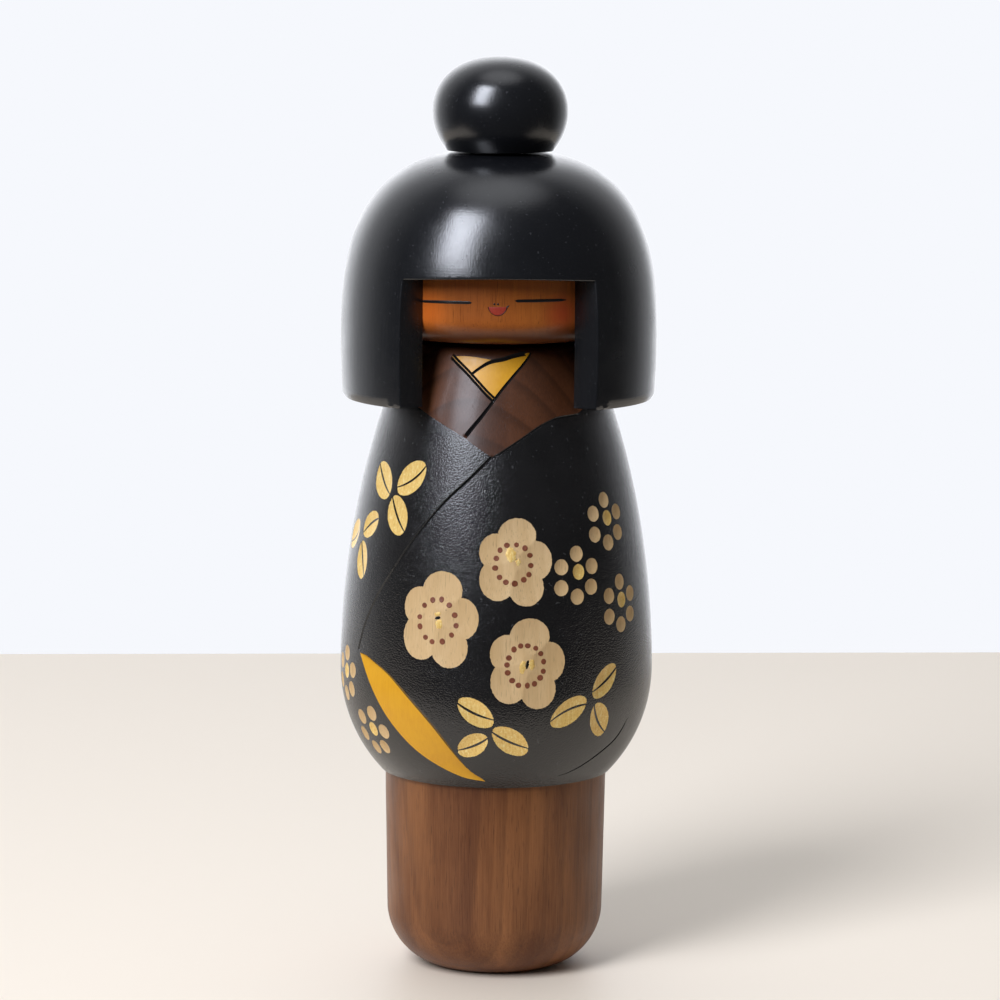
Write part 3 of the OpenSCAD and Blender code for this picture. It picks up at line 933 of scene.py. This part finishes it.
def torso_pieces():
    drawing, depth = draw_torso()
    surface = Surface(drawing, depth)
    low = TORSO.place(surface.drawn, POCKET_FLOOR)
    fillings = [n for n in surface.names if n not in ("ground", "chest")]
    on_chest = [n for n in fillings if n.startswith("collar")]
    on_kimono = [n for n in fillings if n not in on_chest]
    top_end = TORSO.length - 0.01
    neck = [(NECK_R, SHOULDER_Z), (NECK_R, NECK_TOP), (PIVOT_R, NECK_TOP), (PIVOT_R, PIVOT_LOW),
            (0, PIVOT_LOW)]

    def at_hem(a, b):
        return a[1] < 0.01 and b[1] < 0.01

    def at_top(a, b):
        return a[1] > top_end and b[1] > top_end

    def at_neckline(a, b):
        return not at_hem(a, b) and not at_top(a, b)

    kimono = surface.closed_piece(
        "kimono", KIMONO_BLACK, surface.of("ground"), surface.of(*on_kimono), low,
        caps=[(at_hem, [(0, FOOT_H)]), (at_neckline, [(0, PIVOT_LOW - 6)])])
    chest = surface.closed_piece(
        "chest", CHEST_WOOD_SHADED, surface.of("chest"), surface.of(*on_chest), low,
        caps=[(at_neckline, [(0, PIVOT_LOW - 6)]), (at_top, neck)])
    pieces = {kimono: "kimono_lacquer", chest: "stained_wood"}
    finishes = {
        "plum": (PETAL, "petal_wood"), "blossom": (PETAL, "petal_wood"),
        "blossom_hearts": (GOLD, "leaf_gold"), "leaves": (GOLD, "leaf_gold"),
        "lining": (YELLOW, "lining_yellow"), "collar": (YELLOW, "lining_yellow"),
        "collar_lines": (INK, "ink")}
    piece_names = {"lining": "kimono_lining", "collar": "inner_collar"}
    for name in fillings:
        material, slot = finishes.get(name) or finishes[name.rsplit("_", 1)[0]]
        pieces[surface.inlay(piece_names.get(name, name), material, name)] = slot
    return pieces, depth


def anticlockwise(loop):
    """The same loop, running anticlockwise."""
    x, y = np.asarray(loop).T
    return loop if x @ np.roll(y, -1) > y @ np.roll(x, -1) else loop[::-1]


def painted(name, outline, loops, material, rings, ground=None):
    """Thin patches of paint inside closed drawn loops. rings are shares of the loop's size and
    heights above the piece; they end at its middle and close underneath."""
    points, faces = [], []
    for loop in map(anticlockwise, loops):
        middle, count, start = loop.mean(0), len(loop), sum(map(len, points))
        base = (lambda p: np.zeros(len(p))) if ground is None else ground
        for share, height in rings:
            ring = middle + (loop - middle) * share
            ring = ring if share else ring[:1]
            points.append(outline.place(ring, base(ring) - height))
        for row in range(len(rings) - 1):
            low = start + row * count
            for i in range(count):
                j = (i + 1) % count
                high = low + count
                inwards = [high + j, high + i] if rings[row + 1][0] else [high]
                faces.append([low + i, low + j, *inwards])
        faces.append([start + i for i in range(count)][::-1])
    return make_object(name, np.vstack(points), faces, material, PAINT_CREASE)


PAINT_CREASE = 60
# Paint with a low dome, and a dot with a raised rim around its dimple
PAINT_RINGS = [(1.0, -0.25), (1.0, 0.02), (0.9, 0.06), (0.6, 0.09), (0.25, 0.1), (0, 0.1)]
PUNCH_RINGS = [(1.0, -0.25), (1.0, 0.03), (0.85, 0.09), (0.6, 0.05), (0.3, 0.03), (0, 0.03)]


def stamens(depth):
    """The ring of small punched dots on each plum blossom, and the dab of gold in its middle."""
    pieces = {}
    for number, (azimuth, height, size, count, _, dabs) in enumerate(PLUMS):
        spot = TORSO.spot(azimuth, height)
        chance = np.random.default_rng(number)
        loops = []
        for i in range(count):
            turn = 2 * math.pi * (i + 0.35 + 0.12 * chance.uniform(-1, 1)) / count
            ring = (size + 0.03 * chance.uniform(-1, 1)) * np.array(STAMEN_RING)
            shift = np.array(STAMEN_CENTRE) * size + ring * (math.sin(turn), math.cos(turn))
            half = STAMEN_R * (1 + 0.12 * chance.uniform(-1, 1, 2))
            loops.append(oval(TORSO, spot, half, 0, shift, 0.03, i, step=0.2))
        dots = painted(f"stamens_{number + 1}", TORSO, loops, STAMEN_BROWN, PUNCH_RINGS, depth)
        pieces[dots] = "ink"
        dabs = [oval(TORSO, spot, *dab, 0.3, 7 + number, step=0.2) for dab in dabs]
        pieces[painted(f"plum_heart_{number + 1}", TORSO, dabs, GOLD, PAINT_RINGS, depth)] = "leaf_gold"
    return pieces


def foot():
    """The bare foot, with a shallow recess turned into its underside."""
    low_r = FOOT_R - FOOT_TAPER * (1 - FOOT_ROUND[1] / FOOT_H)
    corner = superellipse((low_r - FOOT_ROUND[0], FOOT_ROUND[1]), FOOT_ROUND, FOOT_POWER, -90, 0, 2.5)
    recess = [(0, 0.4), (6, 0.4), (10, 0.4), (10.5, 0)]
    side = straight(corner[-1], (FOOT_R, FOOT_H))[1:]
    top = [(FOOT_R - 0.3, FOOT_H), (0, FOOT_H)]
    return turned("foot", np.vstack([recess, corner, side, top]), WALNUT)


def face():
    """The face block: a drum that the head's dowel goes into."""
    bore = [(0, PIVOT_TOP + 0.5), (PIVOT_R + 0.05, PIVOT_TOP + 0.5), (PIVOT_R + 0.05, CHIN_Z)]
    rows = np.linspace(0, FACE_SIDE.length, 40)
    return turned("face", np.vstack([bore, np.stack(FACE_SIDE.at(rows), 1), [(0, FACE_TOP)]]), FACE_ORANGE)


def eye(name, inner, outer, height, droop):
    """A closed eye: one almost level brush line, from the nose towards the temple."""
    middle = ((inner + outer) / 2, height - droop * 0.4)
    path = drawn_path([(inner, height), middle, (outer, height - droop)], 0.4, FACE_SIDE)
    half = along(path, [0, 0.04, 0.5, 0.9, 1], [0.12, 0.4, 0.42, 0.36, 0.1])
    return painted(name, FACE_SIDE, [band(path, half)], INK, PAINT_RINGS)


def face_paint():
    """Eyes, nose and mouth."""
    pieces = [eye("eye_left", -12, -37.5, 186.7, 0.3), eye("eye_right", 7.2, 31, 187.3, 0.05)]
    nostrils = [oval(FACE_SIDE, FACE_SIDE.spot(a, 186.4), (0.27, 0.3), step=0.1) for a in (-1.95, -0.35)]
    pieces.append(painted("nose", FACE_SIDE, nostrils, INK, PAINT_RINGS))
    turn = np.linspace(0, math.pi, 30)
    spot = FACE_SIDE.spot(-0.55, 185.65)
    lower = np.stack([-2.5 * np.cos(turn), -2.3 * np.sin(turn) ** 1.25], 1)
    upper = np.stack([np.linspace(2.5, -2.5, 12)[1:-1], np.full(10, 0.0)], 1)
    lips = FACE_SIDE.beside(spot, np.vstack([lower, upper]))
    pieces.append(painted("mouth", FACE_SIDE, [lips], MOUTH_RED, PAINT_RINGS))
    edge = FACE_SIDE.beside(spot, np.vstack([lower, [(3.1, 0.45)]]))
    half = np.interp(np.arange(len(edge)), [0, 2, 8, 22, 29, 30], [0.16, 0.16, 0.07, 0.1, 0.2, 0.1])
    pieces.append(ribbon("mouth_line", FACE_SIDE, edge, half, INK))
    return {piece: "ink" for piece in pieces}


# Across a brush line: share of its half width, and height above the piece
RIBBON = [(-1, -0.25), (-1, 0.02), (-0.6, 0.14 * 0.8), (0, 0.14), (0.6, 0.14 * 0.8), (1, 0.02), (1, -0.25)]


def ribbon(name, outline, path, half, material):
    """A brush line along a drawn path, with a low dome across."""
    rows = [outline.place(sideways(path, -half * share), -np.full(len(path), lift)) for share, lift in RIBBON]
    points = np.stack(rows, 1).reshape(-1, 3)
    count, faces = len(RIBBON), []
    for row in range(len(path) - 1):
        for i in range(count):
            j = (i + 1) % count
            a, b = row * count, (row + 1) * count
            faces.append([a + i, a + j, b + j, b + i])
    faces.append(list(range(count))[::-1])
    faces.append([(len(path) - 1) * count + i for i in range(count)])
    return make_object(name, points, faces, material, PAINT_CREASE)


def window_side(radius):
    """Azimuth in radians where the side of the window crosses a radius."""
    half = math.radians(WINDOW_HALF)
    aside, ahead = WINDOW_APEX * math.sin(half), WINDOW_APEX * math.cos(half)
    return np.arcsin(math.sin(half) * (np.sqrt(radius**2 - aside**2) - ahead) / radius)


def hair():
    """The hair: a bell with a window for the face, hollow up to the face block's top."""
    drawing = Drawing(HEAD)
    corner = HAIR_R * math.sin(window_side(HAIR_R))
    arch_r = (corner**2 + WINDOW_RISE**2) / (2 * WINDOW_RISE)
    x = np.linspace(-corner, corner, 80)[1:-1]
    arch_z = WINDOW_Z + WINDOW_RISE - arch_r + np.sqrt(arch_r**2 - x**2)
    arch_y = HEAD.length_at(arch_z)
    arch = np.stack([np.arcsin(x / HEAD.at(arch_y)[0]) * UNROLL, arch_y], 1)
    arch = arch[np.abs(arch[:, 0]) < window_side(HEAD.at(arch_y[0])[0]) * UNROLL - 0.3]
    side_y = np.linspace(0, arch[0, 1], 50)
    side_x = window_side(HEAD.at(side_y)[0]) * UNROLL
    jamb = np.vstack([np.stack([-side_x, side_y], 1), arch, np.stack([side_x, side_y], 1)[::-1]])
    edge = 0.45
    drawing.shape("window", jamb)
    for away in (0.12, 0.28, edge):
        drawing.line(sideways(jamb, away)[1:-1])

    def depth(points):
        away = np.minimum(distance_to(points, jamb)[0], edge)
        return edge - np.sqrt(edge**2 - (edge - away) ** 2)

    surface = Surface(drawing, depth)
    bore_top = HEAD.length_at(FACE_TOP)
    length = surface.drawn[:, 1]
    over = np.clip((length - bore_top) / (HEAD.length - bore_top), 0, 1)
    radius = FACE_R * (1 - 0.97 * over)
    turn = surface.drawn[:, 0] / UNROLL
    outer, inner = window_side(HAIR_R), window_side(FACE_R)
    near = np.interp(np.abs(turn), [0, outer, 2 * outer], [0, 1, 0])
    turn = turn + np.sign(turn) * near * (inner - outer)
    height = np.minimum(HEAD.at(length)[1], FACE_TOP)
    height = np.where(over > 0, FACE_TOP, height)
    low = around_axis(radius, turn, height)
    return surface.shell("hair", HAIR_BLACK, surface.of("ground"), low)


def bun():
    lower = superellipse((0, BUN_WIDE_Z), (BUN_R, BUN_LOW_H), BUN_LOW_POWER, -60, 0, 1.5)
    lower = lower[lower[:, 1] > CROWN_Z + 0.2]
    cut_r = BUN_R * (1 - ((BUN_WIDE_Z - CROWN_Z) / BUN_LOW_H) ** BUN_LOW_POWER) ** (1 / BUN_LOW_POWER)
    upper = superellipse((0, BUN_WIDE_Z), (BUN_R, BUN_TOP - BUN_WIDE_Z), BUN_POWER, 0, 90, 1.5)
    hole = [(0, PEG_TOP), (PEG_R, PEG_TOP), (PEG_R, CROWN_Z)]
    upper[-1, 0] = 0
    return turned("topknot", np.vstack([hole, [(cut_r, CROWN_Z)], lower, upper[1:]]), HAIR_BLACK)


# ---- stage


def stage():
    """A plain table top, whose far edge runs a little askew."""
    front, back, side = -0.17, 0.489, 0.5
    askew = side * math.tan(math.radians(3.1))
    mesh = bpy.data.meshes.new("floor")
    mesh.from_pydata([(-side, front - askew, 0), (side, front + askew, 0), (side, back + askew, 0),
                      (-side, back - askew, 0)], [], [(0, 1, 2, 3)])
    floor = add_object("floor", mesh)
    material, n = paint("floor")
    n.shader(Base_Color=(*srgb(238, 225, 206), 1), Roughness=0.55)
    mesh.materials.append(material)


def lights():
    """A room that is light behind the doll and overhead, and one large soft lamp in front."""
    world = bpy.data.worlds.new("room")
    world.use_nodes = True
    n = Nodes(world.node_tree)
    way = n.add("ShaderNodeTexCoord", output="Generated")
    behind = n.vector_math("DOT_PRODUCT", way, (-0.15, 0.985, 0.05), "Value")
    above = n.vector_math("DOT_PRODUCT", way, (0, 0, 1), "Value")
    room = n.ramp(behind, (0.0, 0.03), (0.25, 0.1), (0.65, 0.34), (0.97, 0.95))
    ceiling = n.ramp(above, (0.86, 0.0), (1.0, 0.6))
    light = n.math("MULTIPLY", n.math("MAXIMUM", room, ceiling), 2.2)
    seen = n.add("ShaderNodeLightPath", output="Is Camera Ray")
    background = world.node_tree.nodes["Background"]
    n.set(background.inputs["Color"], (*srgb(246, 248, 253), 1))
    n.set(background.inputs["Strength"], n.mix(seen, light, (1, 1, 1)))
    bpy.context.scene.world = world
    lamp = bpy.data.lights.new("window", "AREA")
    lamp.shape, lamp.size, lamp.size_y, lamp.energy = "RECTANGLE", 0.75, 1.5, 48
    lamp.color = srgb(238, 243, 255)
    window = add_object("window", lamp)
    azimuth, elevation, away, aim = math.radians(-36), math.radians(39), 2.0, 0.15
    level, height = away * math.cos(elevation), aim + away * math.sin(elevation)
    window.location = (level * math.sin(azimuth), -level * math.cos(azimuth), height)
    window.rotation_euler = (math.pi / 2 - elevation, 0, azimuth)


def camera():
    lens = bpy.data.cameras.new("camera")
    lens.sensor_width, lens.lens = 36, 162
    lens.clip_start, lens.clip_end = 0.05, 50
    view = add_object("camera", lens)
    elevation, away, aim = math.radians(8.05), 1.2375, 0.129
    view.location = (0.0007, -away * math.cos(elevation), aim + away * math.sin(elevation))
    lean = Matrix.Rotation(math.radians(0.44), 3, "Z")
    view.rotation_euler = (Matrix.Rotation(math.pi / 2 - elevation, 3, "X") @ lean).to_euler()
    bpy.context.scene.camera = view


# ---- the doll

stage()
lights()
camera()
bpy.context.scene.view_settings.view_transform = "Standard"

torso, torso_depth = torso_pieces()
on_body = {foot(): "stained_wood", **torso, **stamens(torso_depth)}
on_head = {face(): "face_wood", **face_paint(), hair(): "hair_lacquer", bun(): "hair_lacquer"}
for body, pieces in (("root", on_body), ("head", on_head)):
    for piece, slot in pieces.items():
        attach(piece, body)
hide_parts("body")
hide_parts("face_block")
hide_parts("hair_shell")
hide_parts("bun")
for node in ("neck_dowel", "bun_dowel"):
    cad = frame["nodes"][node]
    cad.data.materials.clear()
    cad.data.materials.append(DOWEL)
